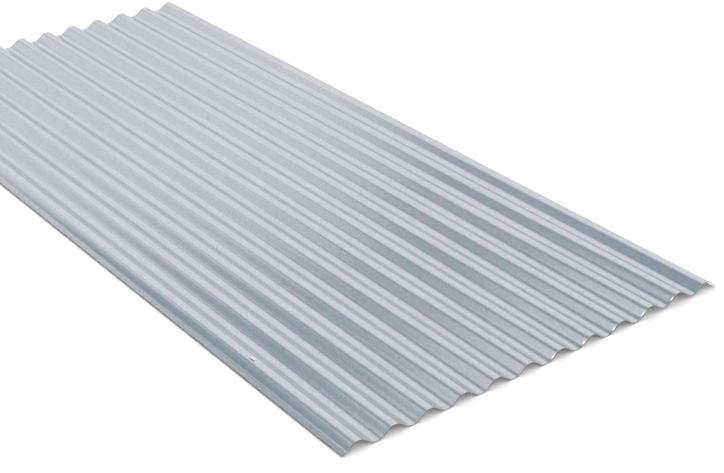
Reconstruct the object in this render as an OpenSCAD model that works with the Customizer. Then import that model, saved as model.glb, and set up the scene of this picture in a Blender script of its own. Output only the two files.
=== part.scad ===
// Corrugated roofing and cladding sheet, roll-formed from one flat galvanised steel strip.
// It lies on the bottoms of its valleys: X runs across the corrugations, Y along them, Z up.
// The origin is under the middle of the sheet, on the plane that it lies on.

/* [Sheet] */
// Overall width across the corrugations, at the middle of the metal
sheet_w = 900; // [300:1:1500]
// Length along the corrugations
sheet_l = 2000; // [500:10:6000]
// Thickness of the metal
gauge = 0.5; // [0.3:0.05:1.2]

/* [Corrugation] */
// Distance from one crest to the next
pitch = 76; // [60:1:110]
// Height from the bottom of a valley to the top of a crest, over the metal
depth = 18; // [12:0.5:22]
// Length of the straight flank between the bend of a valley and the bend of a crest
flank_flat = 14.3; // [1:0.1:30]
// Distance from the bottom of the valley that the strip leaves out to the sheet's left edge
edge_start = 4; // [0:0.5:30]

/* [Detail] */
// Flat steps that draw one bend from flank to flank
bend_steps = 12; // [4:2:24]

/* [Hidden] */

// Half a wave: the run from the bottom of a valley to the top of the next crest
half_pitch = pitch / 2;
// Rise of the metal's middle line over that run
mid_depth = depth - gauge;
// Slope of the straight flank, and the bends' radius at the middle line, with flank and bends tangent
flank_angle = 2 * atan(mid_depth / (half_pitch + flank_flat));
bend_r = (half_pitch - flank_flat * cos(flank_angle)) / (2 * sin(flank_angle));
// Distance across the sheet from the middle of a bend to the end of its curve
bend_reach = bend_r * sin(flank_angle);
// Bends that the width takes in, counting one past each long edge
bend_count = ceil((sheet_w + edge_start) / half_pitch) + 1;
// A bend's step nearer than this to a long edge gives way to the edge itself
least_step = gauge;

// Distance across the sheet from the nearest valley bottom, for a place x from the left edge
function from_valley(x) =
    let (along = (x + edge_start) % pitch)
    min(along, pitch - along);

// 1 where the metal climbs towards +X, and -1 where it falls
function climbs(x) = (x + edge_start) % pitch < half_pitch ? 1 : -1;

// Slope of the metal, without its sign, at a distance u from a valley bottom
function slope(u) =
    u < bend_reach ? asin(u / bend_r)
    : u > half_pitch - bend_reach ? asin((half_pitch - u) / bend_r)
    : flank_angle;

// Height of the middle line above the valley's, at a distance u from a valley bottom
function rise(u) =
    u < bend_reach ? bend_r * (1 - cos(slope(u)))
    : u > half_pitch - bend_reach ? mid_depth - bend_r * (1 - cos(slope(u)))
    : bend_r * (1 - cos(flank_angle)) + (u - bend_reach) * tan(flank_angle);

// A point off the middle line by the distance out, square to the metal
function face_point(x, out) =
    let (u = from_valley(x), tilt = climbs(x) * slope(u))
    [x - out * sin(tilt), gauge / 2 + rise(u) + out * cos(tilt)];

// Places across the sheet where the outline turns: its two long edges and every bend's steps
stations = concat(
    [0],
    [
        for (bend = [0 : bend_count], step = [0 : bend_steps])
            let (
                turn = flank_angle * (2 * step / bend_steps - 1),
                x = bend * half_pitch - edge_start + bend_r * sin(turn)
            )
            if (x > least_step && x < sheet_w - least_step) x
    ],
    [sheet_w]
);

// The wave seen from its end, with both faces square to the metal's middle line
module wave_section() {
    upper = [for (x = stations) face_point(x, gauge / 2)];
    lower = [for (i = [len(stations) - 1 : -1 : 0]) face_point(stations[i], -gauge / 2)];
    polygon(concat(upper, lower));
}

// The whole sheet, cut square at both ends
module corrugated_sheet() {
    color("silver")
        translate([-sheet_w / 2, sheet_l / 2, 0])
            rotate([90, 0, 0])
                linear_extrude(sheet_l)
                    wave_section();
}

corrugated_sheet();
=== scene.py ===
"""Corrugated galvanised steel sheet: rolled from its section, marked, finished and lit."""

import math

import bmesh
import bpy
from bpy.props import FloatProperty, FloatVectorProperty, IntProperty, PointerProperty
from bpy.types import Operator, Panel, PropertyGroup
from mathutils import Euler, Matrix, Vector, noise


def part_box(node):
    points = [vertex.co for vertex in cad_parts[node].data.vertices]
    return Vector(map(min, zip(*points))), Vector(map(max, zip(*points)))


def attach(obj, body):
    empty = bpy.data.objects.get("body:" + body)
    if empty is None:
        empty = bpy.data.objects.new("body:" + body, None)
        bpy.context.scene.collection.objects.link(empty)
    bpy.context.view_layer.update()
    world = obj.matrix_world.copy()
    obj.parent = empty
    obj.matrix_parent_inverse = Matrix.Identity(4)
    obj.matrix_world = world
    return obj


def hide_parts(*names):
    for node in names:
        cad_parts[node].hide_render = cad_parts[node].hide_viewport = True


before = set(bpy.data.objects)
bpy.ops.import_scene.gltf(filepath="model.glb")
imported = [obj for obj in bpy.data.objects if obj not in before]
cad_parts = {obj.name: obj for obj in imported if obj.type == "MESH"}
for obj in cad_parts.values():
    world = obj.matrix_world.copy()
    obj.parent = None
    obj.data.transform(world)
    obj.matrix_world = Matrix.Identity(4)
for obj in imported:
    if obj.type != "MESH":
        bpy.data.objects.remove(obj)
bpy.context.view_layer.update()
SHEET_LOW, SHEET_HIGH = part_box("corrugated_sheet")

bl_info = {
    "name": "Corrugated Sheet",
    "version": (1, 0, 0),
    "blender": (4, 5, 0),
    "location": "3D View > Sidebar > Sheet",
    "description": "Rolls, finishes and lights a corrugated galvanised steel sheet",
    "category": "Add Mesh",
}


# Sizes, finish and light that a user can change


class SheetSizes(PropertyGroup):
    """The section and the cut lengths. The outside sizes come from the frame."""

    width: FloatProperty(
        name="Width",
        description="Overall width across the corrugations, at the middle of the metal",
        default=round(SHEET_HIGH.x - SHEET_LOW.x, 3),
        unit="LENGTH",
    )
    length: FloatProperty(
        name="Length",
        description="Length along the corrugations",
        default=round(SHEET_HIGH.y - SHEET_LOW.y, 3),
        unit="LENGTH",
    )
    depth: FloatProperty(
        name="Depth",
        description="Height from the bottom of a valley to the top of a crest, over the metal",
        default=round(SHEET_HIGH.z - SHEET_LOW.z, 4),
        unit="LENGTH",
    )
    gauge: FloatProperty(
        name="Gauge",
        description="Thickness of the metal",
        default=0.0005,
        precision=5,
        unit="LENGTH",
    )
    pitch: FloatProperty(
        name="Pitch",
        description="Distance from one crest to the next",
        default=0.076,
        unit="LENGTH",
    )
    flank_flat: FloatProperty(
        name="Flank flat",
        description="Length of the straight flank between a valley's bend and a crest's bend",
        default=0.0143,
        precision=4,
        unit="LENGTH",
    )
    edge_start: FloatProperty(
        name="Edge start",
        description="Distance from the valley that the strip leaves out to the left edge",
        default=0.004,
        unit="LENGTH",
    )
    bend_steps: IntProperty(
        name="Bend steps",
        description="Strips of faces that one whole bend is drawn with",
        default=12,
        min=4,
    )
    flank_steps: IntProperty(
        name="Flank steps",
        description="Strips of faces that one straight flank is drawn with",
        default=3,
        min=1,
    )


class HandlingMarks(PropertyGroup):
    """How far the real metal strays from its section."""

    waviness: FloatProperty(
        name="Waviness",
        description="Height of the slow waves that the rolls leave along the sheet",
        default=0.00035,
        precision=5,
        unit="LENGTH",
    )
    flank_wobble: FloatProperty(
        name="Flank wobble",
        description="Height of the short waves across one corrugation",
        default=0.00005,
        precision=5,
        unit="LENGTH",
    )
    pinch: FloatProperty(
        name="Shear pinch",
        description="Depth of the nips that the shear's hold-down left at the front cut",
        default=0.0019,
        precision=4,
        unit="LENGTH",
    )
    dent: FloatProperty(
        name="Dent",
        description="Depth of the knock on the first crest",
        default=0.0011,
        precision=4,
        unit="LENGTH",
    )
    spring: FloatProperty(
        name="Spring",
        description="Most that the sheet springs off the floor",
        default=0.0065,
        precision=4,
        unit="LENGTH",
    )
    margin: FloatProperty(
        name="Straight margin",
        description="Share by which the left margin keeps straight instead of following the bend",
        default=1.0,
        min=0.0,
        max=1.0,
        subtype="FACTOR",
    )


class ZincFinish(PropertyGroup):
    """The hot-dip zinc coating and the bare cut edge."""

    zinc: FloatVectorProperty(
        name="Zinc",
        description="Mean colour of the coating",
        default=(0.78, 0.78, 0.80),
        subtype="COLOR",
        min=0.0,
        max=1.0,
    )
    # Cut edge: partly the dull steel's own colour, partly painted shade of the dark line along the cut
    cut_edge_and_shade: FloatVectorProperty(
        name="Cut edge",
        description="Colour of the sheared steel, dulled by handling",
        default=(0.09, 0.10, 0.11),
        subtype="COLOR",
        min=0.0,
        max=1.0,
    )
    shallow_tint: FloatVectorProperty(
        name="Shallow tint",
        description="Tint of what the coating mirrors at a shallow angle",
        default=(0.935, 0.955, 0.955),
        subtype="COLOR",
        min=0.0,
        max=1.0,
    )
    roughness: FloatProperty(
        name="Roughness",
        description="Mean roughness of the coating",
        default=0.21,
        min=0.0,
        max=1.0,
        subtype="FACTOR",
    )
    spangle: FloatProperty(
        name="Spangle size",
        description="Mean size of a zinc crystal",
        default=0.0018,
        precision=4,
        unit="LENGTH",
    )


class StudioStage(PropertyGroup):
    """The floor, the light panels and the camera."""

    floor: FloatVectorProperty(
        name="Floor",
        description="Colour of the floor",
        default=(0.96, 0.95, 0.94),
        subtype="COLOR",
        min=0.0,
        max=1.0,
    )
    room: FloatVectorProperty(
        name="Room",
        description="What the sheet mirrors between the light panels",
        default=(0.28, 0.354, 0.403),
        subtype="COLOR",
        min=0.0,
        max=4.0,
    )
    dome: FloatVectorProperty(
        name="Dome",
        description="Even light on dull surfaces, which keeps the floor white round the sheet",
        default=(0.85, 0.88, 0.90),
        subtype="COLOR",
        min=0.0,
        max=4.0,
    )
    distance: FloatVectorProperty(
        name="Distance",
        description="Colour seen past the end of the floor, matched to the far floor",
        default=(0.82, 0.84, 0.85),
        subtype="COLOR",
        min=0.0,
        max=1.0,
    )
    panels: FloatVectorProperty(
        name="Panels",
        description="Colour of the light panels",
        default=(1.0, 0.889, 0.884),
        subtype="COLOR",
        min=0.0,
        max=1.0,
    )
    focal_length: FloatProperty(
        name="Focal length",
        description="Focal length of the camera, on a 36 mm sensor",
        default=76.6,
        subtype="DISTANCE_CAMERA",
    )


# The section, worked out as the roll former's tooling has it


class Section:
    """Bend radius and flank slope that make bends and flanks tangent at this pitch and depth."""

    def __init__(self, sizes):
        half_pitch = sizes.pitch / 2
        rise = sizes.depth - sizes.gauge
        flat = sizes.flank_flat
        self.half_pitch = half_pitch
        self.low = sizes.gauge / 2
        self.high = self.low + rise
        self.slope = 2 * math.atan(rise / (half_pitch + flat))
        self.radius = (half_pitch - flat * math.cos(self.slope)) / (2 * math.sin(self.slope))
        self.left = -sizes.width / 2
        self.first_valley = self.left - sizes.edge_start
        self.halves = math.ceil((sizes.width + sizes.edge_start) / half_pitch)


def spin(bm, geometry, centre, axis, turn, shift, steps):
    """Draws geometry on in steps, turned about a line or shifted, and returns its last copy."""
    made = bmesh.ops.spin(
        bm,
        geom=geometry,
        cent=centre,
        axis=axis,
        angle=turn,
        dvec=shift,
        steps=steps,
        use_merge=False,
        use_normal_flip=False,
        use_duplicate=False,
    )
    return made["geom_last"]


def roll_section(bm, sizes, section, y):
    """Draws the metal's middle line from left of the sheet to right of it, bend by bend."""
    start = (section.first_valley, y, section.low)
    tip = bmesh.ops.create_vert(bm, co=start)["vert"]
    valley_axis, crest_axis = (0, -1, 0), (0, 1, 0)
    valley_z = section.low + section.radius
    crest_z = section.high - section.radius
    centre = (section.first_valley, y, valley_z)
    tip = spin(bm, tip, centre, valley_axis, section.slope, (0, 0, 0), sizes.bend_steps // 2)
    for half in range(section.halves):
        climbs = half % 2 == 0
        run = sizes.flank_flat * math.cos(section.slope)
        lift = sizes.flank_flat * math.sin(section.slope) * (1 if climbs else -1)
        step = (run / sizes.flank_steps, 0, lift / sizes.flank_steps)
        tip = spin(bm, tip, centre, crest_axis, 0, step, sizes.flank_steps)
        x = section.first_valley + (half + 1) * section.half_pitch
        centre = (x, y, crest_z if climbs else valley_z)
        axis = crest_axis if climbs else valley_axis
        tip = spin(bm, tip, centre, axis, 2 * section.slope, (0, 0, 0), sizes.bend_steps)


def draw_out(bm, zones):
    """Draws the section out along Y, with rows of faces as close in each zone as its marks need."""
    last = list(bm.verts) + list(bm.edges)
    for reach, rows in zones:
        last = spin(bm, last, (0, 0, 0), (0, 1, 0), 0, (0, reach / rows, 0), rows)


def slit_edges(bm, width):
    """Trims both long edges to the sheet's width."""
    for side in (-1, 1):
        bmesh.ops.bisect_plane(
            bm,
            geom=list(bm.verts) + list(bm.edges) + list(bm.faces),
            plane_co=(side * width / 2, 0, 0),
            plane_no=(side, 0, 0),
            clear_outer=True,
        )


# Marks that the rolls, the shear and handling leave, in metres


# Length at each cut that has close rows of faces
SHEAR_ZONE = 0.012

# Nips of the shear's hold-down: the corrugations that have one, counted from 0 at the left, and
# how hard each was pressed
NIPS = ((6, 0.85), (7, 0.95), (8, 0.85), (9, 1.0), (10, 0.88))
NIP_FROM_VALLEY = 0.018
NIP_REACH = 0.0125
NIP_LENGTH = 0.009

# Knock on the first crest, and the length with close rows of faces round it
DENT_AT = Vector((-0.4135, -0.688, 0.0))
DENT_ZONE = 0.024
DENT_REACH_ACROSS = 0.007
DENT_REACH_ALONG = 0.011

# Straight left margin: its width, and the height of the metal's middle line at its cut
EDGE_MARGIN = 0.0112
MARGIN_LOW = 0.0006

# Slow and short waves: swells to the metre across and along the sheet, and the slice of noise
# that each takes
SLOW_ACROSS, SLOW_ALONG, SLOW_LAYER = 3.1, 1.3, 4.0
SHORT_ACROSS, SHORT_ALONG, SHORT_LAYER = 42.0, 4.5, 9.0

# Spring near the right edge: its middle line, its reaches, and the share that all of its length has
SPRING_X = 0.33
SPRING_REACH_ACROSS = 0.16
SPRING_REACH_BACK = 0.65
SPRING_ALL_ALONG = 0.36

# Spring of the left edge, as a share of the right's
LEFT_SPRING = 0.26
LEFT_SPRING_REACH = 0.14


def row_zones(sizes):
    """Lengths along Y and their rows of faces: close at both cuts and at the dent, open between."""
    front = -sizes.length / 2
    to_dent = DENT_AT.y - DENT_ZONE / 2 - (front + SHEAR_ZONE)
    past_dent = sizes.length / 2 - SHEAR_ZONE - (DENT_AT.y + DENT_ZONE / 2)
    return [
        (SHEAR_ZONE, 12),
        (to_dent, 14),
        (DENT_ZONE, 12),
        (past_dent, 60),
        (SHEAR_ZONE, 4),
    ]


def hump(distance, reach):
    """1 at no distance, falling smoothly to 0 at the reach."""
    share = max(0.0, 1.0 - distance / reach)
    return share * share * (3 - 2 * share)


def nip(x, from_front, nip_x):
    """Share of a nip's depth: a hump across the flank that dies away behind the front cut."""
    along = max(0.0, 1.0 - from_front / NIP_LENGTH) ** 2
    return hump(abs(x - nip_x), NIP_REACH) * along


def knock(x, y):
    """Share of the dent's depth."""
    across = hump(abs(x - DENT_AT.x), DENT_REACH_ACROSS)
    return across * hump(abs(y - DENT_AT.y), DENT_REACH_ALONG)


def spring(x, from_front, from_left, marks):
    """Height that the sheet springs off the floor: most at the front right, less at the left."""
    along = SPRING_ALL_ALONG + (1 - SPRING_ALL_ALONG) * hump(from_front, SPRING_REACH_BACK)
    right = marks.spring * along * hump(abs(x - SPRING_X), SPRING_REACH_ACROSS)
    left = LEFT_SPRING * marks.spring * hump(from_left, LEFT_SPRING_REACH)
    return right + left


def work_metal(bm, sizes, marks, section):
    """Moves the rolled mesh off its perfect section, as the rolls, the shear and handling do."""
    front = -sizes.length / 2
    bm.normal_update()
    normals = [v.normal.copy() for v in bm.verts]
    first_nip = section.first_valley + NIP_FROM_VALLEY
    nips = [(first_nip + corrugation * sizes.pitch, hard) for corrugation, hard in NIPS]
    margin_top = section.low + section.radius * (1 - math.cos(section.slope))
    for vert, normal in zip(bm.verts, normals):
        x, y, _ = vert.co
        from_left = x - section.left
        # The slitter leaves the left margin straight up to the first flank
        if from_left < EDGE_MARGIN:
            share = from_left / EDGE_MARGIN
            straight = MARGIN_LOW + (margin_top - MARGIN_LOW) * share
            vert.co.z += (straight - vert.co.z) * marks.margin
        slow = noise.noise(Vector((x * SLOW_ACROSS, y * SLOW_ALONG, SLOW_LAYER)))
        short = noise.noise(Vector((x * SHORT_ACROSS, y * SHORT_ALONG, SHORT_LAYER)))
        vert.co += normal * marks.flank_wobble * short
        for nip_x, hard in nips:
            vert.co -= normal * marks.pinch * hard * nip(x, y - front, nip_x)
        vert.co -= normal * marks.dent * knock(x, y)
        vert.co.z += marks.waviness * (1 + slow) + spring(x, y - front, from_left, marks)


# Materials


class Nodes:
    """Adds nodes to a tree, with their inputs given by name or place."""

    def __init__(self, tree):
        self.tree = tree

    def add(self, kind, inputs=(), **settings):
        """A node of that kind. An input is a number, a colour or another node's output."""
        made = self.tree.nodes.new(kind)
        for name, value in settings.items():
            setattr(made, name, value)
        for socket, value in dict(inputs).items():
            if isinstance(value, bpy.types.NodeSocket):
                self.tree.links.new(value, made.inputs[socket])
            else:
                made.inputs[socket].default_value = value
        return made

    def math(self, operation, a, b=0.0, c=0.0):
        """The result of one operation on up to three numbers."""
        return self.add("ShaderNodeMath", {0: a, 1: b, 2: c}, operation=operation).outputs[0]

    def total(self, base, weights, marks):
        """The base, with each named mark added to it by its weight."""
        result = base
        for name, weight in weights.items():
            result = self.math("MULTIPLY_ADD", marks[name], weight, result)
        return result

    def shade(self, colour, tone):
        """A colour made darker or lighter by a tone that is 1 where it stays as it is."""
        inputs = {0: tuple(colour), 3: tone}
        return self.add("ShaderNodeVectorMath", inputs, operation="SCALE").outputs[0]

    def mapped(self, vector, scale, location=(0, 0, 0)):
        """A place scaled and shifted axis by axis."""
        inputs = {"Vector": vector, "Scale": scale, "Location": location}
        return self.add("ShaderNodeMapping", inputs).outputs["Vector"]

    def noise(self, vector, scale, detail=2.0, roughness=0.5):
        """Soft noise from 0 to 1, with a mean of a half."""
        inputs = {"Vector": vector, "Scale": scale, "Detail": detail, "Roughness": roughness}
        return self.add("ShaderNodeTexNoise", inputs).outputs["Fac"]

    def stretched_noise(self, vector, scale, detail=2.0, roughness=0.5):
        """The same noise with a scale of its own along each axis."""
        return self.noise(self.mapped(vector, scale), 1.0, detail, roughness)

    def spread(self, value, low, high, to_low, to_high):
        """Maps low..high onto to_low..to_high, with smooth ends."""
        inputs = {
            "Value": value,
            "From Min": low,
            "From Max": high,
            "To Min": to_low,
            "To Max": to_high,
        }
        return self.add("ShaderNodeMapRange", inputs, interpolation_type="SMOOTHSTEP").outputs[0]

    def fade(self, value, start, end):
        """1 up to the start, falling smoothly to 0 at the end."""
        return self.spread(value, start, end, 1.0, 0.0)

    def oval(self, place, centre, reach_x, reach_y, core=0.3):
        """1 in the core of an oval seen from above, falling smoothly to 0 at its rim."""
        scale = Vector((1 / reach_x, 1 / reach_y, 0.0))
        inside = self.mapped(place, scale, -centre * scale)
        length = self.add("ShaderNodeVectorMath", {0: inside}, operation="LENGTH")
        return self.fade(length.outputs["Value"], core, 1.0)


def new_material(name):
    """An empty material and the nodes to fill it with."""
    material = bpy.data.materials.new(name)
    material.use_nodes = True
    material.node_tree.nodes.clear()
    return material, Nodes(material.node_tree)


# How much each mark lightens, roughens and raises the zinc. A tone below 0 darkens it.
ZINC_TONE = {
    "crystal": 0.16,
    "grain": 0.42,
    "clouds": 0.08,
    "streaks": 0.10,
    "scratches": 0.8,
    "pressed": 0.5,
    "scuffed": -0.12,
    # Burr: partly real smeared zinc, partly painted shade of the dark line along each cut
    "burr_and_edge_shade": -0.7,
    # Painted highlight at the knock, in place of the light its dent would catch
    "painted_knock_highlight": 0.25,
    # Painted shade beside the knock, in place of the shade its dent would give
    "painted_knock_shade": -0.75,
}
ZINC_ROUGHNESS = {
    "facing": 0.02,
    "streaks": 0.03,
    "clouds": 0.03,
    "scuffed": 0.08,
    "burr_and_edge_shade": 0.4,
}
ZINC_RELIEF = {"facing": 0.15, "grain": 0.35, "pressed": 0.5}
RELIEF_STRENGTH = 0.14
RELIEF_HEIGHT = 0.00003
ZINC_LEFT_ON_BURR_AND_SHADE = 0.2

# Scales of the patterns, to the metre. A triple is across the sheet, along it and up.
WARP_SCALE, WARP_SHIFT = 260.0, 0.003
GRAIN_SCALE = 1400.0
CLOUD_SCALE = 5.0
STREAK_SCALE = (220.0, 3.0, 220.0)
SCRATCH_SCALE = (700.0, 160.0, 700.0)
SCORE_SCALE = (900.0, 900.0, 60.0)

# Line that the last roll pressed: its distance from the valley before it, the distances from the
# left edge and the places along the sheet between which it fades, and its patches after that
PRESSED_FROM_VALLEY = 0.0149
PRESSED_HALF_WIDTH = 0.0011
PRESSED_FADES_ACROSS = (0.02, 0.04)
PRESSED_FADES_ALONG = (-0.7, -0.35)
PATCH_SCALE = (12.0, 2.2, 12.0)
PATCH_EDGE = (0.42, 0.62)
PATCH_STRENGTH = 0.4

# Distances from the cut over which the burr, darkened partly as painted shade, and the scuffed long
# margins fade
BURR_AND_SHADE_FADE = (0.0008, 0.0024)
BURR_AND_SHADE_RAGGED = 0.0006
SCUFF_FADE = (0.004, 0.0125)

# Knock: the reach of a painted highlight on it, and the place and reach of a painted shade line beside
# it
PAINTED_HIGHLIGHT_REACH = (0.006, 0.011)
PAINTED_SHADE_AT = DENT_AT - Vector((0.0055, 0.003, 0.0))
PAINTED_SHADE_REACH = (0.0022, 0.012)


def zinc_patterns(n, place, spangle):
    """What covers the whole coating: spangle crystals and their facing, grain, clouds, roll streaks."""
    # The warp bends the crystals' straight borders
    wander = {"Vector": place, "Scale": WARP_SCALE, "Detail": 1.0}
    warp = n.add("ShaderNodeTexNoise", wander).outputs["Color"]
    shifted = {0: warp, 1: (WARP_SHIFT, WARP_SHIFT, WARP_SHIFT), 2: place}
    bent = n.add("ShaderNodeVectorMath", shifted, operation="MULTIPLY_ADD").outputs[0]
    cells = {"Vector": bent, "Scale": 1 / spangle, "Randomness": 1.0}
    crystals = n.add("ShaderNodeTexVoronoi", cells).outputs["Color"]
    crystal, facing, _ = n.add("ShaderNodeSeparateColor", {"Color": crystals}).outputs
    return {
        "crystal": crystal,
        "facing": facing,
        "grain": n.noise(place, GRAIN_SCALE),
        "clouds": n.noise(place, CLOUD_SCALE, detail=3.0),
        "streaks": n.stretched_noise(place, STREAK_SCALE, detail=3.0, roughness=0.6),
    }


def pressed_line(n, place, sizes, section):
    """Line that the last roll pressed on left-facing flanks: clear on the first, patchy after it."""
    x, y, _ = n.add("ShaderNodeSeparateXYZ", {"Vector": place}).outputs
    phase = n.math("MODULO", n.math("SUBTRACT", x, section.first_valley), sizes.pitch)
    off_line = n.math("ABSOLUTE", n.math("SUBTRACT", phase, PRESSED_FROM_VALLEY))
    line = n.fade(off_line, 0.0, PRESSED_HALF_WIDTH)
    clear = n.fade(n.math("SUBTRACT", x, section.left), *PRESSED_FADES_ACROSS)
    patchy = n.spread(n.stretched_noise(place, PATCH_SCALE), *PATCH_EDGE, 0.0, PATCH_STRENGTH)
    along = n.fade(y, *PRESSED_FADES_ALONG)
    strength = n.math("MULTIPLY", n.math("MAXIMUM", clear, patchy), along)
    return n.math("MULTIPLY", line, strength)


def edge_marks(n, place, grain, sizes):
    """Burr along every cut edge, darkened partly as painted shade, and the scuffed long margins with
    their scratches.
    """
    x, y, _ = n.add("ShaderNodeSeparateXYZ", {"Vector": place}).outputs
    from_end = n.math("SUBTRACT", sizes.length / 2, n.math("ABSOLUTE", y))
    from_side = n.math("SUBTRACT", sizes.width / 2, n.math("ABSOLUTE", x))
    from_cut = n.math("MINIMUM", from_end, from_side)
    ragged = n.math("MULTIPLY_ADD", grain, BURR_AND_SHADE_RAGGED, from_cut)
    scuffed = n.fade(from_side, *SCUFF_FADE)
    scratches = n.stretched_noise(place, SCRATCH_SCALE, roughness=0.7)
    return {
        "burr_and_edge_shade": n.fade(ragged, *BURR_AND_SHADE_FADE),
        "scuffed": scuffed,
        "scratches": n.math("MULTIPLY", n.math("SUBTRACT", scratches, 0.5), scuffed),
    }


def zinc_material(finish, sizes, section):
    """Satin hot-dip zinc: spangle, roll streaks, pressed lines, scuffed margins, burrs darkened partly
    as painted shade, and a painted highlight and shade at the knock.
    """
    material, n = new_material("galvanised_zinc")
    place = n.add("ShaderNodeTexCoord").outputs["Object"]
    patterns = zinc_patterns(n, place, finish.spangle)
    # Patterns swing about 0 here, so they leave the mean tone and roughness as they are
    marks = {name: n.math("SUBTRACT", value, 0.5) for name, value in patterns.items()}
    marks["pressed"] = pressed_line(n, place, sizes, section)
    # A painted highlight on the knock and a painted shade line beside it
    marks["painted_knock_highlight"] = n.oval(place, DENT_AT, *PAINTED_HIGHLIGHT_REACH)
    marks["painted_knock_shade"] = n.oval(place, PAINTED_SHADE_AT, *PAINTED_SHADE_REACH)
    marks.update(edge_marks(n, place, patterns["grain"], sizes))

    relief = {
        "Height": n.total(0.0, ZINC_RELIEF, marks),
        "Strength": RELIEF_STRENGTH,
        "Distance": RELIEF_HEIGHT,
    }
    shader = n.add(
        "ShaderNodeBsdfPrincipled",
        {
            "Base Color": n.shade(finish.zinc, n.total(1.0, ZINC_TONE, marks)),
            # Less metal at the burr, so that the painted shade there stays dark at shallow angles
            "Metallic": n.math("MULTIPLY_ADD", marks["burr_and_edge_shade"], ZINC_LEFT_ON_BURR_AND_SHADE - 1.0, 1.0),
            "Roughness": n.total(finish.roughness, ZINC_ROUGHNESS, marks),
            "Normal": n.add("ShaderNodeBump", relief).outputs[0],
            "Specular Tint": (*finish.shallow_tint, 1.0),
        },
    )
    n.add("ShaderNodeOutputMaterial", {"Surface": shader.outputs[0]})
    return material


def edge_material(finish):
    """Bare steel where the shear went through, dull and scored across its thickness, and darker still
    as painted shade of the dark cut line.
    """
    material, n = new_material("sheared_edge_and_shade")
    place = n.add("ShaderNodeTexCoord").outputs["Object"]
    score = n.stretched_noise(place, SCORE_SCALE, roughness=0.6)
    tone = n.spread(score, 0.35, 0.65, to_low=0.7, to_high=1.25)
    rough = n.spread(score, 0.3, 0.7, to_low=0.42, to_high=0.58)
    shader = n.add(
        "ShaderNodeBsdfPrincipled",
        {"Base Color": n.shade(finish.cut_edge_and_shade, tone), "Metallic": 0.3, "Roughness": rough},
    )
    n.add("ShaderNodeOutputMaterial", {"Surface": shader.outputs[0]})
    return material


# The sheet


CUT_CORNER = 0.00006
CUT_CORNER_ANGLE = math.radians(60)


def rolled_mesh(sizes, marks, section):
    """The middle surface of the metal: rolled, drawn out, trimmed and marked."""
    bm = bmesh.new()
    roll_section(bm, sizes, section, -sizes.length / 2)
    draw_out(bm, row_zones(sizes))
    slit_edges(bm, sizes.width)
    work_metal(bm, sizes, marks, section)
    for face in bm.faces:
        face.smooth = True
    mesh = bpy.data.meshes.new("galvanised_sheet")
    bm.to_mesh(mesh)
    bm.free()
    return mesh


def give_gauge(sheet, gauge):
    """Thickens the surface to the gauge, half to each side, and breaks the corners of its cuts."""
    wall = sheet.modifiers.new("gauge", "SOLIDIFY")
    wall.thickness = gauge
    wall.offset = 0.0
    wall.use_even_offset = True
    wall.material_offset_rim = 1
    rim = sheet.modifiers.new("cut corners", "BEVEL")
    rim.width = CUT_CORNER
    rim.segments = 1
    rim.limit_method = "ANGLE"
    rim.angle_limit = CUT_CORNER_ANGLE
    rim.harden_normals = True


class SHEET_OT_roll(Operator):
    """Roll the corrugated sheet, mark it as handling does, and give it its zinc"""

    bl_idname = "sheet.roll_corrugated"
    bl_label = "Roll the sheet"

    def execute(self, context):
        scene = context.scene
        sizes, marks, finish = scene.sheet_sizes, scene.sheet_marks, scene.sheet_finish
        section = Section(sizes)
        if section.radius <= sizes.gauge:
            raise ValueError("the flank flat leaves no room for a bend")
        mesh = rolled_mesh(sizes, marks, section)
        sheet = bpy.data.objects.new("galvanised_sheet", mesh)
        scene.collection.objects.link(sheet)
        mesh.materials.append(zinc_material(finish, sizes, section))
        mesh.materials.append(edge_material(finish))
        give_gauge(sheet, sizes.gauge)
        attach(sheet, "root")
        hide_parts("corrugated_sheet")
        return {"FINISHED"}


# The stage


CAMERA_AT = (-1.644, -2.640, 1.506)
CAMERA_TURN = Euler((1.0750, 0.0058, -0.6496))
SENSOR_WIDTH = 36.0
FLOOR_HALF_SIZE = 30.0
PANEL_DISTANCE = 6.0

# Name, bearing from +Y and elevation in degrees, width and height in metres, brightness
LIGHT_PANELS = (
    ("back_left", -13.5, 24, 2.5, 4.2, 0.43),
    ("back_right", 38.5, 33, 7.3, 6.0, 0.51),
    ("right_side", 121, 42, 6.6, 10.7, 0.6),
    ("left_strip", -75, 58, 6.0, 1.7, 0.46),
    ("glint", -93, 61, 0.6, 1.5, 4.0),
    ("front", -160, 40, 8.0, 7.0, 0.4),
)


def hang_panel(scene, stage, name, bearing, elevation, width, height, brightness):
    """A soft box round the sheet, facing it: a rectangle that looks as bright as its number says."""
    light = bpy.data.lights.new(name, "AREA")
    light.shape = "RECTANGLE"
    light.size, light.size_y = width, height
    light.energy = math.pi * width * height * brightness
    light.color = stage.panels
    panel = bpy.data.objects.new(name, light)
    across, up = math.radians(bearing), math.radians(elevation)
    outward = Vector((math.sin(across) * math.cos(up), math.cos(across) * math.cos(up), math.sin(up)))
    panel.location = outward * PANEL_DISTANCE
    panel.rotation_euler = outward.to_track_quat("Z", "Y").to_euler()
    panel.visible_camera = False
    scene.collection.objects.link(panel)


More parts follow.
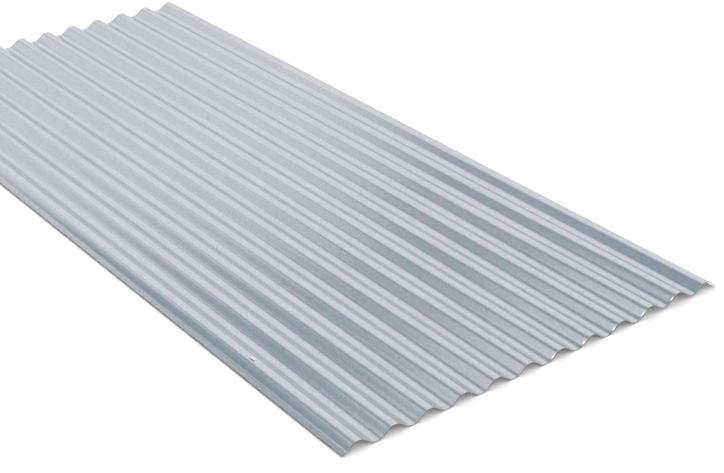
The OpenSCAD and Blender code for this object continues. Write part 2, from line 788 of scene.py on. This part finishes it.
class SHEET_OT_light(Operator):
    """Lay the floor, hang the light panels and set up the camera"""

    bl_idname = "sheet.light_studio"
    bl_label = "Light the studio"

    def execute(self, context):
        scene = context.scene
        stage = scene.sheet_stage
        self.lay_floor(scene, stage)
        self.light_room(scene, stage)
        for panel in LIGHT_PANELS:
            hang_panel(scene, stage, *panel)
        self.set_camera(scene, stage)
        scene.view_settings.view_transform = "Standard"
        return {"FINISHED"}

    def lay_floor(self, scene, stage):
        """A wide, dull, pale floor."""
        bm = bmesh.new()
        bmesh.ops.create_grid(bm, x_segments=8, y_segments=8, size=FLOOR_HALF_SIZE)
        mesh = bpy.data.meshes.new("floor")
        bm.to_mesh(mesh)
        bm.free()
        floor = bpy.data.objects.new("floor", mesh)
        material, n = new_material("pale_floor")
        shader = n.add("ShaderNodeBsdfDiffuse", {"Color": (*stage.floor, 1.0)})
        n.add("ShaderNodeOutputMaterial", {"Surface": shader.outputs[0]})
        mesh.materials.append(material)
        scene.collection.objects.link(floor)

    def light_room(self, scene, stage):
        """Gloss mirrors the room, dull surfaces take the dome's light, the camera sees the distance."""
        world = bpy.data.worlds.new("room")
        world.use_nodes = True
        world.node_tree.nodes.clear()
        n = Nodes(world.node_tree)
        ray = n.add("ShaderNodeLightPath").outputs
        room, dome, distance = (
            n.add("ShaderNodeBackground", {"Color": (*colour, 1.0), "Strength": 1.0}).outputs[0]
            for colour in (stage.room, stage.dome, stage.distance)
        )
        lit = n.add("ShaderNodeMixShader", {0: ray["Is Diffuse Ray"], 1: room, 2: dome}).outputs[0]
        seen = n.add("ShaderNodeMixShader", {0: ray["Is Camera Ray"], 1: lit, 2: distance}).outputs[0]
        n.add("ShaderNodeOutputWorld", {"Surface": seen})
        scene.world = world

    def set_camera(self, scene, stage):
        """Looks down on the sheet from its front left, at standing height, through a long lens."""
        data = bpy.data.cameras.new("camera")
        data.sensor_width = SENSOR_WIDTH
        data.lens = stage.focal_length
        camera = bpy.data.objects.new("camera", data)
        camera.location = CAMERA_AT
        camera.rotation_euler = CAMERA_TURN
        scene.collection.objects.link(camera)
        scene.camera = camera


# The sidebar


class SHEET_PT_panel(Panel):
    """Sizes, marks, finish and stage of the corrugated sheet"""

    bl_idname = "SHEET_PT_panel"
    bl_label = "Corrugated sheet"
    bl_space_type = "VIEW_3D"
    bl_region_type = "UI"
    bl_category = "Sheet"

    def draw(self, context):
        layout = self.layout
        for name in GROUPS:
            group = getattr(context.scene, name)
            box = layout.box()
            for prop in group.bl_rna.properties:
                if prop.identifier not in ("rna_type", "name"):
                    box.prop(group, prop.identifier)
        for operator in (SHEET_OT_roll, SHEET_OT_light):
            layout.operator(operator.bl_idname)


GROUPS = {
    "sheet_sizes": SheetSizes,
    "sheet_marks": HandlingMarks,
    "sheet_finish": ZincFinish,
    "sheet_stage": StudioStage,
}
CLASSES = (*GROUPS.values(), SHEET_OT_roll, SHEET_OT_light, SHEET_PT_panel)


def register():
    """Adds the classes, and gives each scene its sizes, marks, finish and stage."""
    for cls in CLASSES:
        bpy.utils.register_class(cls)
    for name, group in GROUPS.items():
        setattr(bpy.types.Scene, name, PointerProperty(type=group))


def unregister():
    """Takes away what register added."""
    for name in GROUPS:
        delattr(bpy.types.Scene, name)
    for cls in reversed(CLASSES):
        bpy.utils.unregister_class(cls)


def main():
    """Makes the sheet and its stage."""
    register()
    bpy.ops.sheet.roll_corrugated()
    bpy.ops.sheet.light_studio()


if __name__ == "__main__":
    main()
